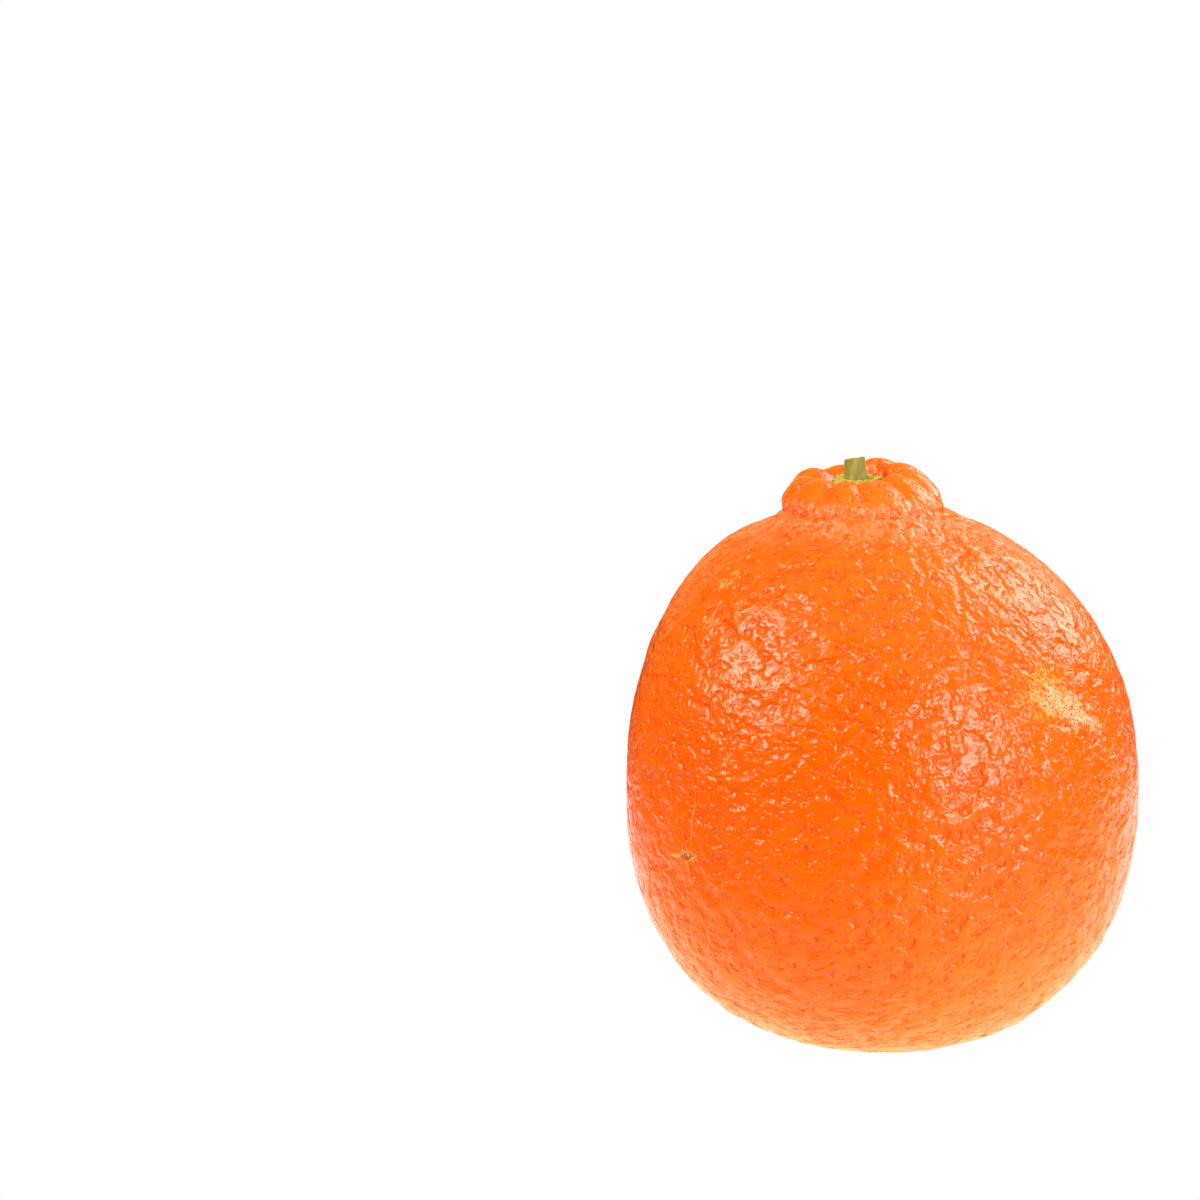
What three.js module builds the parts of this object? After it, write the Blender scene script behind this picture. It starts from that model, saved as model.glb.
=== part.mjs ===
// A minneola tangelo standing on its blossom end: the necked fruit, its star-shaped calyx and the cut stem.
// Millimetres, +Z up. The origin is on the surface that the fruit stands on, and the front faces -Y.
// Angles round the fruit are in degrees: 0 at the front, 90 at the right (+X), 180 at the back.
import * as THREE from "three";

const { degToRad, radToDeg, smoothstep } = THREE.MathUtils;

// Body: two half superellipses that meet at the widest ring
const BODY_RADIUS = 41.0;
const BELLY_DEPTH = 41.3; // from the widest ring down to where the rounded end would close
const BELLY_FULLNESS = 2.27; // 2 is an ellipse, and more is squarer
const SHOULDER_HEIGHT = 46.8; // from the widest ring up to where the shoulder would close
const SHOULDER_FULLNESS = 2.2;
const BELLY_ROWS = 13;
const SHOULDER_ROWS = 11;
const SEGMENTS = 80; // round the fruit

// Foot: the small flat spot that it rests on, with the stylar scar as a dent in its middle
const FOOT_RADIUS = 6.0;
const SCAR = { radius: 2.4, depth: 0.6 };

// Neck: radius and height above the surface, from the shoulder over the rim and down into the stem's hollow
const NECK_START_RADIUS = 19.0;
const NECK = [
  [14.7, 85.5], // foot of the neck
  [12.9, 86.5], // crease where the neck rises from the shoulder
  [12.7, 87.8],
  [12.2, 89.2],
  [11.1, 90.6],
  [9.8, 91.7],
  [8.4, 92.25],
  [7.0, 92.3], // crest of the rim
  [5.9, 91.9],
  [5.3, 91.2],
  [4.9, 90.65],
  [4.2, 90.4], // edge of the hollow's floor
];
const HOLLOW_FLOOR = 90.4;
const NECK_ROWS = 26;

// Lean: the upper half curves towards -X, and the neck sits off the body's own axis
const LEAN = { from: 35.0, to: 94.0, shift: 5.1, power: 2.9 };

// Lobes of the neck: the grooves between them, and how far each lobe stands above the rim
const GROOVES = [4, 42, 74, 104, 131, 176, 222, 258, 294, 334];
const LOBE_RISE = [-0.5, -0.3, -0.2, 0.0, 0.35, -0.45, 0.1, -0.15, 0.0, -0.15];
const GROOVE_DEPTH = 1.1;
const RIM_TILT = { rise: 0.75, towards: 130 }; // the whole rim is higher at the back right
const SHOULDER_RIB = 0.35; // the grooves run on down the shoulder as faint flutes

// Where the rind round the neck's foot stands out or in, as a soft bump on one side of the fruit
const BUMPS = [
  { side: 0, depth: 1.5, radius: 13.8, height: 86.4, reach: 3.0 }, // the crease is shallower in front
  { side: 90, depth: -0.3, radius: 18.5, height: 83.6, reach: 3.4 }, // a dip on the right shoulder
  { side: 270, depth: -1.0, radius: 17.0, height: 84.4, reach: 3.6 }, // a dip on the left shoulder
];

// Body swell: slow unevenness of the rind, as [waves round the fruit, phase in degrees, height in mm]
const SWELL = [
  [2, 40, 0.3],
  [3, 115, 0.2],
  [5, 20, 0.12],
];

// Calyx: five sepals on a raised disc, lying in the hollow, each raised by its own curl
const SEPALS = [
  { middle: 6, curl: 0.05 },
  { middle: 76, curl: 0.9 },
  { middle: 150, curl: 0.6 },
  { middle: 222, curl: 0.6 },
  { middle: 290, curl: 0.35 },
];
const SEPAL_HALF_ANGLE = 33;
const SEPAL_TIP_RADIUS = 4.4;
const CALYX_DISC_RADIUS = 2.5;
const CALYX_THICKNESS = 0.75;
const CALYX_TIP_THICKNESS = 0.62;
const CALYX_COLLAR = { radius: 2.1, height: 0.2 }; // the raised middle that carries the stem
const CALYX_SEGMENTS = 60;
const CALYX_RINGS = 6;

// Stem: a short stub that leans a little to the left, cut aslant so that its right and its front stand higher
const STEM_LENGTH = 2.85;
const STEM_FOOT_RADIUS = 1.82;
const STEM_TOP_RADIUS = 1.6;
const STEM_CUT_SLOPE = { right: 0.18, front: 0.2 };
const STEM_LEAN = 0.25;
const STEM_SEGMENTS = 28;
const STEM_RIDGE = 0.09;

const GAP = 0.2; // between pieces that rest on each other

// Height of a half superellipse at radius r, measured from the widest ring.
function superellipseHeight(r, semiHeight, fullness) {
  return semiHeight * (1 - (r / BODY_RADIUS) ** fullness) ** (1 / fullness);
}

const WIDEST_HEIGHT = superellipseHeight(FOOT_RADIUS, BELLY_DEPTH, BELLY_FULLNESS);

// Points of a half superellipse from one radius to another, one for each equal step of its angle.
// side is -1 for the belly, below the widest ring, and +1 for the shoulder, above it.
function superellipseArc(side, fromRadius, toRadius, semiHeight, fullness, rows) {
  const angleAt = (r) => Math.acos((r / BODY_RADIUS) ** (fullness / 2));
  const from = angleAt(fromRadius);
  const to = angleAt(toRadius);
  const points = [];
  for (let i = 0; i <= rows; i++) {
    const angle = from + ((to - from) * i) / rows;
    const r = BODY_RADIUS * Math.cos(angle) ** (2 / fullness);
    const rise = semiHeight * Math.sin(angle) ** (2 / fullness);
    points.push(new THREE.Vector2(r, WIDEST_HEIGHT + side * rise));
  }
  return points;
}

// The fruit's outline from the middle of the foot to the middle of the hollow, both on the axis.
function fruitProfile() {
  const foot = [
    new THREE.Vector2(0, SCAR.depth),
    new THREE.Vector2(SCAR.radius * 0.5, SCAR.depth * 0.75),
    new THREE.Vector2(SCAR.radius, 0),
  ];
  const belly = superellipseArc(-1, FOOT_RADIUS, BODY_RADIUS, BELLY_DEPTH, BELLY_FULLNESS, BELLY_ROWS);
  belly[0].y = 0;
  const shoulder = superellipseArc(
    1,
    BODY_RADIUS,
    NECK_START_RADIUS,
    SHOULDER_HEIGHT,
    SHOULDER_FULLNESS,
    SHOULDER_ROWS,
  );
  const neckCurve = new THREE.SplineCurve([
    shoulder[SHOULDER_ROWS],
    ...NECK.map(([r, z]) => new THREE.Vector2(r, z)),
    new THREE.Vector2(0, HOLLOW_FLOOR),
  ]);
  const neck = neckCurve.getPoints(NECK_ROWS);
  neck[NECK_ROWS].x = 0;
  return [...foot, ...belly, ...shoulder.slice(1), ...neck.slice(1)];
}

// How a point lies among the lobes: pillow is 1 on a lobe's middle and 0 in a groove, rise is the lobe's own height.
function lobeAt(angle) {
  const count = GROOVES.length;
  const turned = (((angle - GROOVES[0]) % 360) + 360) % 360;
  let i = count - 1;
  while (i > 0 && turned < GROOVES[i] - GROOVES[0]) i--;
  const start = GROOVES[i] - GROOVES[0];
  const end = i + 1 < count ? GROOVES[i + 1] - GROOVES[0] : 360;
  const across = (2 * (turned - start)) / (end - start) - 1;
  const pillow = 1 - Math.abs(across) ** 2.4;
  return { pillow, rise: LOBE_RISE[i] * pillow };
}

// How far the rind stands out along its normal from the plain profile, at radius r, height z and an angle.
function relief(r, z, angle) {
  const { pillow, rise } = lobeAt(angle);
  const onNeck = smoothstep(r, 4.6, 6.8) * smoothstep(z, 86.2, 90.8);
  const tilt = RIM_TILT.rise * Math.cos(degToRad(angle - RIM_TILT.towards));
  const onShoulder = smoothstep(z, 72, 84) * (1 - smoothstep(z, 86, 89));
  const bumps = BUMPS.reduce((sum, { side, depth, radius, height, reach }) => {
    const facing = Math.max(0, Math.cos(degToRad(angle - side))) ** 1.5;
    return sum + depth * facing * Math.exp(-((Math.hypot(r - radius, z - height) / reach) ** 2));
  }, 0);
  const swell = SWELL.reduce((sum, [waves, phase, height]) => {
    return sum + height * Math.cos(degToRad(waves * angle + phase));
  }, 0);
  const onBody = smoothstep(z, 1, 16) * (1 - smoothstep(z, 74, 90));
  const lobes = onNeck * (GROOVE_DEPTH * (pillow - 0.75) + rise + tilt);
  return lobes + onShoulder * SHOULDER_RIB * (pillow - 0.6) + bumps + onBody * swell;
}

// Sideways shift of the fruit's axis at height z.
function leanAt(z) {
  const share = Math.max(0, (z - LEAN.from) / (LEAN.to - LEAN.from));
  return -LEAN.shift * share ** LEAN.power;
}

// The profile turned round the axis, raised by its relief along the normals and leaned.
function fruitGeometry() {
  const geometry = new THREE.LatheGeometry(fruitProfile(), SEGMENTS).rotateX(Math.PI / 2);
  const position = geometry.getAttribute("position");
  const normal = geometry.getAttribute("normal");
  for (let i = 0; i < position.count; i++) {
    const [x, y, z] = [position.getX(i), position.getY(i), position.getZ(i)];
    const raised = relief(Math.hypot(x, y), z, radToDeg(Math.atan2(x, -y)));
    position.setXYZ(
      i,
      x + raised * normal.getX(i) + leanAt(z),
      y + raised * normal.getY(i),
      z + raised * normal.getZ(i),
    );
  }
  return geometry;
}

// The star at an angle: reach is 0 between the sepals and 1 at a tip, and curl is the nearest sepal's own.
function sepalAt(angle) {
  let share = 0;
  let curl = 0;
  for (const sepal of SEPALS) {
    const away = Math.abs(((((angle - sepal.middle) % 360) + 540) % 360) - 180);
    const nearness = Math.max(0, 1 - away / SEPAL_HALF_ANGLE);
    share = Math.max(share, nearness);
    curl += sepal.curl * nearness;
  }
  return { reach: share ** 0.85, curl };
}

// A star-shaped shell, closed by a profile that runs out along its underside and back over its top.
// Height 0 is the underside at the middle.
function calyxGeometry() {
  const profile = [];
  for (let i = 0; i <= CALYX_RINGS; i++) profile.push(new THREE.Vector2(i / CALYX_RINGS, 0));
  for (let i = CALYX_RINGS; i >= 0; i--) profile.push(new THREE.Vector2(i / CALYX_RINGS, 1));
  const geometry = new THREE.LatheGeometry(profile, CALYX_SEGMENTS).rotateX(Math.PI / 2);
  const position = geometry.getAttribute("position");
  for (let i = 0; i < position.count; i++) {
    const [x, y, side] = [position.getX(i), position.getY(i), position.getZ(i)];
    const share = Math.hypot(x, y);
    const angle = Math.atan2(x, -y);
    const { reach, curl } = sepalAt(radToDeg(angle));
    const r = share * (CALYX_DISC_RADIUS + (SEPAL_TIP_RADIUS - CALYX_DISC_RADIUS) * reach);
    const lift = curl * smoothstep(r, 1.9, 3.2);
    const thickness = CALYX_THICKNESS + (CALYX_TIP_THICKNESS - CALYX_THICKNESS) * smoothstep(r, 2, 4);
    const collar = CALYX_COLLAR.height * (1 - smoothstep(r, CALYX_COLLAR.radius, CALYX_DISC_RADIUS));
    position.setXYZ(i, r * Math.sin(angle), -r * Math.cos(angle), lift + side * (thickness + collar));
  }
  return geometry;
}

// A tapered stub with shallow ridges and a slanting cut, standing on height 0.
function stemGeometry() {
  const profile = [
    new THREE.Vector2(0, 0),
    new THREE.Vector2(STEM_FOOT_RADIUS, 0),
    new THREE.Vector2(STEM_FOOT_RADIUS * 0.96, STEM_LENGTH * 0.2),
    new THREE.Vector2((STEM_FOOT_RADIUS + STEM_TOP_RADIUS) / 2, STEM_LENGTH * 0.5),
    new THREE.Vector2(STEM_TOP_RADIUS, STEM_LENGTH * 0.95),
    new THREE.Vector2(STEM_TOP_RADIUS * 0.93, STEM_LENGTH),
    new THREE.Vector2(0, STEM_LENGTH),
  ];
  const geometry = new THREE.LatheGeometry(profile, STEM_SEGMENTS).rotateX(Math.PI / 2);
  const position = geometry.getAttribute("position");
  for (let i = 0; i < position.count; i++) {
    const [x, y, z] = [position.getX(i), position.getY(i), position.getZ(i)];
    const r = Math.hypot(x, y);
    const angle = Math.atan2(x, -y);
    const ridged = r + (r / STEM_FOOT_RADIUS) * STEM_RIDGE * Math.cos(5 * angle + 0.6);
    const share = z / STEM_LENGTH;
    const cut = z + share * (STEM_CUT_SLOPE.right * x - STEM_CUT_SLOPE.front * y);
    position.setXYZ(i, ridged * Math.sin(angle) - STEM_LEAN * share, -ridged * Math.cos(angle), cut);
  }
  return geometry;
}

function piece(name, geometry, color, roughness) {
  const mesh = new THREE.Mesh(geometry, new THREE.MeshStandardMaterial({ color, roughness, metalness: 0 }));
  mesh.name = name;
  return mesh;
}

const fruit = piece("fruit", fruitGeometry(), 0xff6a10, 0.38);

// The calyx lies on the hollow's floor and the stem stands on the calyx, both on the leaned axis.
const calyx = piece("calyx", calyxGeometry(), 0xb5a433, 0.6);
calyx.position.set(leanAt(HOLLOW_FLOOR + GAP + CALYX_THICKNESS), 0, HOLLOW_FLOOR + GAP);

const stem = piece("stem", stemGeometry(), 0x8f9150, 0.65);
stem.position.copy(calyx.position);
stem.position.z += CALYX_THICKNESS + CALYX_COLLAR.height + GAP;

const minneola = new THREE.Group();
minneola.add(fruit, calyx, stem);

// The origin is centred under the fruit's own box.
const box = new THREE.Box3().setFromObject(minneola);
minneola.children.forEach((mesh) => {
  mesh.position.x -= (box.min.x + box.max.x) / 2;
  mesh.position.y -= (box.min.y + box.max.y) / 2;
});

export default minneola;
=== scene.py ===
"""A minneola tangelo standing on its blossom end: its fine rind, the star of its calyx and its cut stem.

Sizes in the classes are millimetres, and a mesh turns them into metres when it is made. +Z is up and the
front faces -Y. Angles round the fruit are degrees: 0 at the front, 90 at the right (+X), 180 at the back.
"""

import logging
import math
from dataclasses import dataclass, field
from enum import Enum, IntEnum

import bpy
import numpy as np
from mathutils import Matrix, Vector


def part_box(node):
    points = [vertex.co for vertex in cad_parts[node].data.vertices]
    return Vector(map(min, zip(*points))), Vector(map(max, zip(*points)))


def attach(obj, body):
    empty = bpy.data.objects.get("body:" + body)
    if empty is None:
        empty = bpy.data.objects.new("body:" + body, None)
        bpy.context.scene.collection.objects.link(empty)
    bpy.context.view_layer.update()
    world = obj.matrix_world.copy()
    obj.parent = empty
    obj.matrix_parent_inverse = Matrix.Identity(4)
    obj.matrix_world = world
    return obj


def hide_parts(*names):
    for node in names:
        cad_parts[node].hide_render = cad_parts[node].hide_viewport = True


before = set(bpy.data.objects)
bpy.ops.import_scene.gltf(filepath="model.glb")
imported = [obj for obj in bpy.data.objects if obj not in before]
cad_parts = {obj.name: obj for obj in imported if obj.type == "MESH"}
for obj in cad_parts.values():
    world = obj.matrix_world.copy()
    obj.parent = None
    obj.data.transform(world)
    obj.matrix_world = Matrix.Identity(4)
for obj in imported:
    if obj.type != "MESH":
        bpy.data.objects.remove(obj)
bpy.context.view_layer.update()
BODY = "root"
MM = 0.001

Array = np.ndarray
Pair = tuple[float, float]
Triple = tuple[float, float, float]
Colour = tuple[float, float, float, float]
Tree = bpy.types.NodeTree
Wire = bpy.types.NodeSocket
Feed = Wire | float | tuple[float, ...]
Feeds = dict[str | int, Feed]
Spot = tuple[Vector, Vector, Vector]

WHITE: Colour = (1.0, 1.0, 1.0, 1.0)
PATCH_REACH = (16 * MM, 22 * MM)

log = logging.getLogger("minneola")


# Numbers and colours


def smoothstep(value: Array, low: float, high: float) -> Array:
    """A soft step from 0 at low to 1 at high.

    Args:
        value: Where to read the step.
        low: Where it starts.
        high: Where it ends.

    Returns:
        3t^2 - 2t^3 of the clamped share t of the way from low to high.
    """
    share = np.clip((value - low) / (high - low), 0.0, 1.0)
    return share * share * (3.0 - 2.0 * share)


def colour(code: str) -> Colour:
    """Turns a written colour into the linear one that a shader uses.

    Args:
        code: Six hexadecimal digits, as in "ff7a10".

    Returns:
        Linear red, green and blue, with an alpha of 1.
    """
    parts = [int(code[i : i + 2], 16) / 255 for i in (0, 2, 4)]
    linear = [p / 12.92 if p <= 0.04045 else ((p + 0.055) / 1.055) ** 2.4 for p in parts]
    return (*linear, 1.0)


def lattice_random(cells: Array, channel: int) -> Array:
    """A fixed random number for each whole-number cell of a lattice.

    Args:
        cells: Whole numbers, with the three coordinates along the last axis.
        channel: Which of many independent numbers to give.

    Returns:
        Numbers from 0 to 1, one for each cell.
    """
    mixed = cells[..., 0] * 73856093 ^ cells[..., 1] * 19349663 ^ cells[..., 2] * 83492791
    mixed = (mixed ^ channel * 49979687) & 0xFFFFFFFF
    mixed = ((mixed ^ mixed >> 13) * 1274126177) & 0xFFFFFFFF
    mixed = ((mixed ^ mixed >> 15) * 668265263) & 0xFFFFFFFF
    return (mixed ^ mixed >> 16) % 65536 / 65535.0


def value_noise(points: Array, size: float, channel: int) -> Array:
    """Soft noise: random numbers on a cubic lattice, blended inside each cell by smooth steps.

    Args:
        points: Places to read it, in mm, with the coordinates along the last axis.
        size: Width of a cell in mm.
        channel: Which of many independent noises to give.

    Returns:
        Numbers from -1 to 1, one for each point.
    """
    scaled = points / size
    corner = np.floor(scaled).astype(np.int64)
    share = scaled - corner
    share = share * share * (3.0 - 2.0 * share)
    total = np.zeros(points.shape[:-1])
    for step in np.ndindex(2, 2, 2):
        offset = np.array(step)
        weight = np.prod(np.where(offset == 1, share, 1.0 - share), axis=-1)
        total += weight * lattice_random(corner + offset, channel)
    return total * 2.0 - 1.0


def layered_noise(points: Array, size: float, channel: int, layers: int = 3) -> Array:
    """Noise of several sizes, each layer half as wide and half as high as the one before.

    Args:
        points: Places to read it, in mm.
        size: Cell width of the widest layer in mm.
        channel: Which of many independent noises to give.
        layers: How many sizes.

    Returns:
        Numbers of about -1 to 1, one for each point.
    """
    total = np.zeros(points.shape[:-1])
    for layer in range(layers):
        total += value_noise(points, size / 2**layer, channel + layer) / 2**layer
    return total / (2.0 - 2.0 ** (1 - layers))


def dimples(points: Array, spacing: float, radius: float, channel: int) -> Array:
    """Round hollows of uneven size, scattered one to a lattice cell.

    Each cell holds one jittered middle. A point's depth is 1 at a middle and falls to 0 by a smooth step at
    that dimple's own radius, and the deepest dimple near a point wins.

    Args:
        points: Places to read it, in mm.
        spacing: Width of a cell in mm.
        radius: Radius of a mean dimple in mm.
        channel: Which of many independent patterns to give.

    Returns:
        Depths from 0 to 1, one for each point.
    """
    home = np.floor(points / spacing).astype(np.int64)
    deepest = np.zeros(points.shape[:-1])
    for step in np.ndindex(3, 3, 3):
        cell = home + np.array(step) - 1
        jitter = np.stack([lattice_random(cell, channel + axis) for axis in range(3)], axis=-1)
        middle = (cell + jitter) * spacing
        own_radius = radius * (0.6 + 0.8 * lattice_random(cell, channel + 3))
        nearness = 1.0 - np.linalg.norm(points - middle, axis=-1) / own_radius
        deepest = np.maximum(deepest, smoothstep(nearness, 0.0, 1.0))
    return deepest


# Meshes


def ring_mesh(name: str, rings: Array) -> bpy.types.Mesh:
    """Closes a stack of rings into one skin, with a fan of triangles to the middle of each end ring.

    Neighbouring rings are joined by quads, and each ring's last point joins its first, so there is no seam.

    Args:
        name: The mesh's name.
        rings: Points in mm, shaped (rings, points round, 3), bottom first and each anticlockwise from above.

    Returns:
        The mesh in metres, smooth, with its faces pointing out.
    """
    count, around = rings.shape[:2]
    poles = [rings[0].mean(axis=0), rings[-1].mean(axis=0)]
    points = np.concatenate([rings.reshape(-1, 3), poles]) * MM
    here = np.arange(around)
    after = np.roll(here, -1)
    base = (np.arange(count - 1) * around)[:, None]
    quads = np.stack([base + here, base + after, base + around + after, base + around + here], axis=-1)
    top = (count - 1) * around
    pole = count * around
    start_fan = np.stack([after, here, np.full(around, pole)], axis=-1)
    end_fan = np.stack([top + here, top + after, np.full(around, pole + 1)], axis=-1)
    faces = quads.reshape(-1, 4).tolist() + start_fan.tolist() + end_fan.tolist()
    mesh = bpy.data.meshes.new(name)
    mesh.from_pydata(points, [], faces)
    mesh.polygons.foreach_set("use_smooth", np.ones(len(mesh.polygons), dtype=bool))
    mesh.update()
    return mesh


def store(mesh: bpy.types.Mesh, name: str, values: Array) -> None:
    """Keeps a number or a vector for each vertex, for the mesh's material to read.

    Args:
        mesh: The mesh.
        name: The attribute's name.
        values: One number or one row of three for each vertex.
    """
    kind = "FLOAT_VECTOR" if values.ndim == 2 else "FLOAT"
    attribute = mesh.attributes.new(name, kind, "POINT")
    attribute.data.foreach_set("vector" if values.ndim == 2 else "value", values.astype(np.float32).ravel())


def grid_normals(rings: Array) -> Array:
    """Outward normals of a closed stack of rings, from the cross product of its two directions.

    Args:
        rings: Points shaped (rings, points round, 3).

    Returns:
        Unit normals of the same shape.
    """
    around = np.roll(rings, -1, axis=1) - np.roll(rings, 1, axis=1)
    along = np.gradient(rings, axis=0)
    normal = np.cross(around, along)
    return normal / np.maximum(np.linalg.norm(normal, axis=-1, keepdims=True), 1e-12)


def centring(points: Array, node: str) -> Array:
    """How far to move a piece to centre it in plan in the box of its node.

    Args:
        points: The piece's points in mm.
        node: The node that it stands for.

    Returns:
        The move in mm. Its own zero height goes to the floor of the box.
    """
    low, high = (np.array(corner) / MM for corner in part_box(node))
    flat = points.reshape(-1, 3)
    shift = (low + high - flat.min(axis=0) - flat.max(axis=0)) / 2
    shift[2] = low[2]
    return shift


def new_object(name: str, data: bpy.types.ID) -> bpy.types.Object:
    """Makes an object and puts it into the scene."""
    piece = bpy.data.objects.new(name, data)
    bpy.context.scene.collection.objects.link(piece)
    return piece


def add_piece(mesh: bpy.types.Mesh, material: bpy.types.Material, node: str) -> bpy.types.Object:
    """Puts a piece into the scene in place of a node of the frame.

    Args:
        mesh: The piece's mesh, in its place.
        material: Its finish.
        node: The node that it stands for.

    Returns:
        The new object.
    """
    piece = new_object(mesh.name, mesh)
    mesh.materials.append(material)
    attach(piece, BODY)
    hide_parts(node)
    log.info("%s: %d vertices, %d faces", piece.name, len(mesh.vertices), len(mesh.polygons))
    return piece


# Shader building


class Bench:
    """Places nodes in one node tree and wires them together."""

    ROW_LENGTH = 12
    GAPS = (220, -320)

    def __init__(self, tree: Tree) -> None:
        """Starts on an empty tree.

        Args:
            tree: The material's, world's or group's node tree.
        """
        self.tree = tree
        self.tree.nodes.clear()
        self.placed = 0

    def node(self, kind: str, feeds: Feeds | None = None, **settings: object) -> bpy.types.Node:
        """Adds a node.

        Args:
            kind: Its type's name.
            feeds: What goes into its inputs, by name or number: another node's output, or a value.
            **settings: The node's own properties, set first because some decide which inputs there are.

        Returns:
            The node.
        """
        node = self.tree.nodes.new(kind)
        row, column = divmod(self.placed, self.ROW_LENGTH)
        node.location = (column * self.GAPS[0], row * self.GAPS[1])
        self.placed += 1
        for name, value in settings.items():
            setattr(node, name, value)
        for key, value in (feeds or {}).items():
            if isinstance(value, bpy.types.NodeSocket):
                self.tree.links.new(value, node.inputs[key])
            else:
                node.inputs[key].default_value = value
        return node

    def maths(self, operation: str, first: Feed, second: Feed = 0.0, third: Feed = 0.0) -> Wire:
        """One sum on numbers, such as ADD, MULTIPLY, SUBTRACT or MULTIPLY_ADD."""
        return self.node("ShaderNodeMath", {0: first, 1: second, 2: third}, operation=operation).outputs[0]

    def vector(self, operation: str, *terms: Feed, output: str = "Vector") -> Wire:
        """One sum on directions, such as SUBTRACT, or DOT_PRODUCT and LENGTH, whose output is Value."""
        feeds = dict(enumerate(terms))
        return self.node("ShaderNodeVectorMath", feeds, operation=operation).outputs[output]

    def attribute(self, name: str, output: str = "Fac") -> Wire:
        """What the mesh keeps for each vertex under a name."""
        return self.node("ShaderNodeAttribute", attribute_name=name).outputs[output]

    def axis(self, place: Wire, name: str) -> Wire:
        """One coordinate of a place: X, Y or Z."""
        return self.node("ShaderNodeSeparateXYZ", {0: place}).outputs[name]

    def stretch(self, place: Wire, scale: Triple) -> Wire:
        """A place with each axis multiplied, so that a pattern on it is squeezed by as much."""
        return self.node("ShaderNodeMapping", {"Vector": place, "Scale": scale}).outputs["Vector"]

    def step(self, value: Feed, low: Feed, high: Feed, start: Feed = 0.0, end: Feed = 1.0) -> Wire:
        """A smooth step from start, where value is low, to end, where it is high.

        Args:
            value: The number to read.
            low: Where the step starts.
            high: Where it ends.
            start: What it gives before.
            end: What it gives after.

        Returns:
            The number's socket.
        """
        feeds = {0: value, 1: low, 2: high, 3: start, 4: end}
        return self.node("ShaderNodeMapRange", feeds, interpolation_type="SMOOTHSTEP").outputs[0]

    def mix(self, share: Feed, first: Feed, second: Feed) -> Wire:
        """Blends two colours, by the second's share from 0 to 1."""
        return self.node("ShaderNodeMix", {0: share, 6: first, 7: second}, data_type="RGBA").outputs[2]

    def noise(self, place: Wire, size: float, detail: float = 2.0) -> Wire:
        """Soft noise of features about size mm wide, from 0 to 1."""
        feeds = {"Vector": place, "Scale": per_metre(size), "Detail": detail}
        return self.node("ShaderNodeTexNoise", feeds).outputs[0]

    def group(self, tree: Tree, feeds: Feeds) -> Wire:
        """Places a shared effect with its own values, and gives its one output."""
        return self.node("ShaderNodeGroup", feeds, node_tree=tree).outputs[0]

    def give(self, value: Wire) -> Tree:
        """Ends a shared effect, whose one output gives the value."""
        self.node("NodeGroupOutput", {0: value})
        return self.tree

    def surface(self, tone: Wire, rough: Feed, depth: Wire, feeds: Feeds | None = None) -> None:
        """Ends a material with its shader.

        Args:
            tone: Its colour.
            rough: Its roughness.
            depth: Its relief in mm.
            feeds: Other inputs of the shader.
        """
        bump = self.node("ShaderNodeBump", {"Distance": MM, "Height": depth}).outputs["Normal"]
        feeds = {"Base Color": tone, "Roughness": rough, "Normal": bump} | (feeds or {})
        shader = self.node("ShaderNodeBsdfPrincipled", feeds)
        self.node("ShaderNodeOutputMaterial", {"Surface": shader.outputs[0]})

    def unseen_glow(self, strength: Wire, hue: Wire) -> Feeds:
        """Feeds of a glow that is plain white to the camera and lights the fruit as given.

        Args:
            strength: How brightly it lights the fruit.
            hue: In what colour.

        Returns:
            The Color and Strength of its shader.
        """
        seen = self.node("ShaderNodeLightPath").outputs["Is Camera Ray"]
        shown = self.node("ShaderNodeMix", {0: seen, 2: strength, 3: 1.0}, data_type="FLOAT").outputs[0]
        return {"Color": self.mix(seen, hue, WHITE), "Strength": shown}


class Kind(Enum):
    """Socket types of a shared effect."""

    NUMBER = "NodeSocketFloat"
    DIRECTION = "NodeSocketVector"


def effect_tree(name: str, inputs: dict[str, Kind], output: str) -> tuple[Bench, dict[str, Wire]]:
    """Starts a node group for an effect that is used more than once.

    Args:
        name: The group's name.
        inputs: Its inputs' names and types.
        output: The name of the one number that it gives.

    Returns:
        A bench on the group's tree, and the sockets that its inputs give inside.
    """
    tree = bpy.data.node_groups.new(name, "ShaderNodeTree")
    for label, kind in inputs.items():
        tree.interface.new_socket(label, in_out="INPUT", socket_type=kind.value)
    tree.interface.new_socket(output, in_out="OUTPUT", socket_type=Kind.NUMBER.value)
    bench = Bench(tree)
    entry = bench.node("NodeGroupInput")
    return bench, {label: entry.outputs[label] for label in inputs}


def pores_tree() -> Tree:
    """Small round pits: a jittered middle in each cell, and a smooth step of the distance to the nearest.

    Each pit's own radius is 0.5 to 1.3 times the given one, by its cell's random number.

    Returns:
        A group that takes Place, Density (cells per metre), Radius and Edge (in cells), and gives Pit.
    """
    inputs = {"Place": Kind.DIRECTION, "Density": Kind.NUMBER, "Radius": Kind.NUMBER, "Edge": Kind.NUMBER}
    bench, given = effect_tree("Pores", inputs, "Pit")
    cells = bench.node("ShaderNodeTexVoronoi", {"Vector": given["Place"], "Scale": given["Density"]})
    chance = bench.node("ShaderNodeSeparateColor", {0: cells.outputs["Color"]}).outputs[0]
    outer = bench.maths("MULTIPLY", given["Radius"], bench.maths("MULTIPLY_ADD", chance, 0.8, 0.5))
    inner = bench.maths("SUBTRACT", outer, given["Edge"])
    return bench.give(bench.step(cells.outputs["Distance"], inner, outer, 1.0, 0.0))


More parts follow.
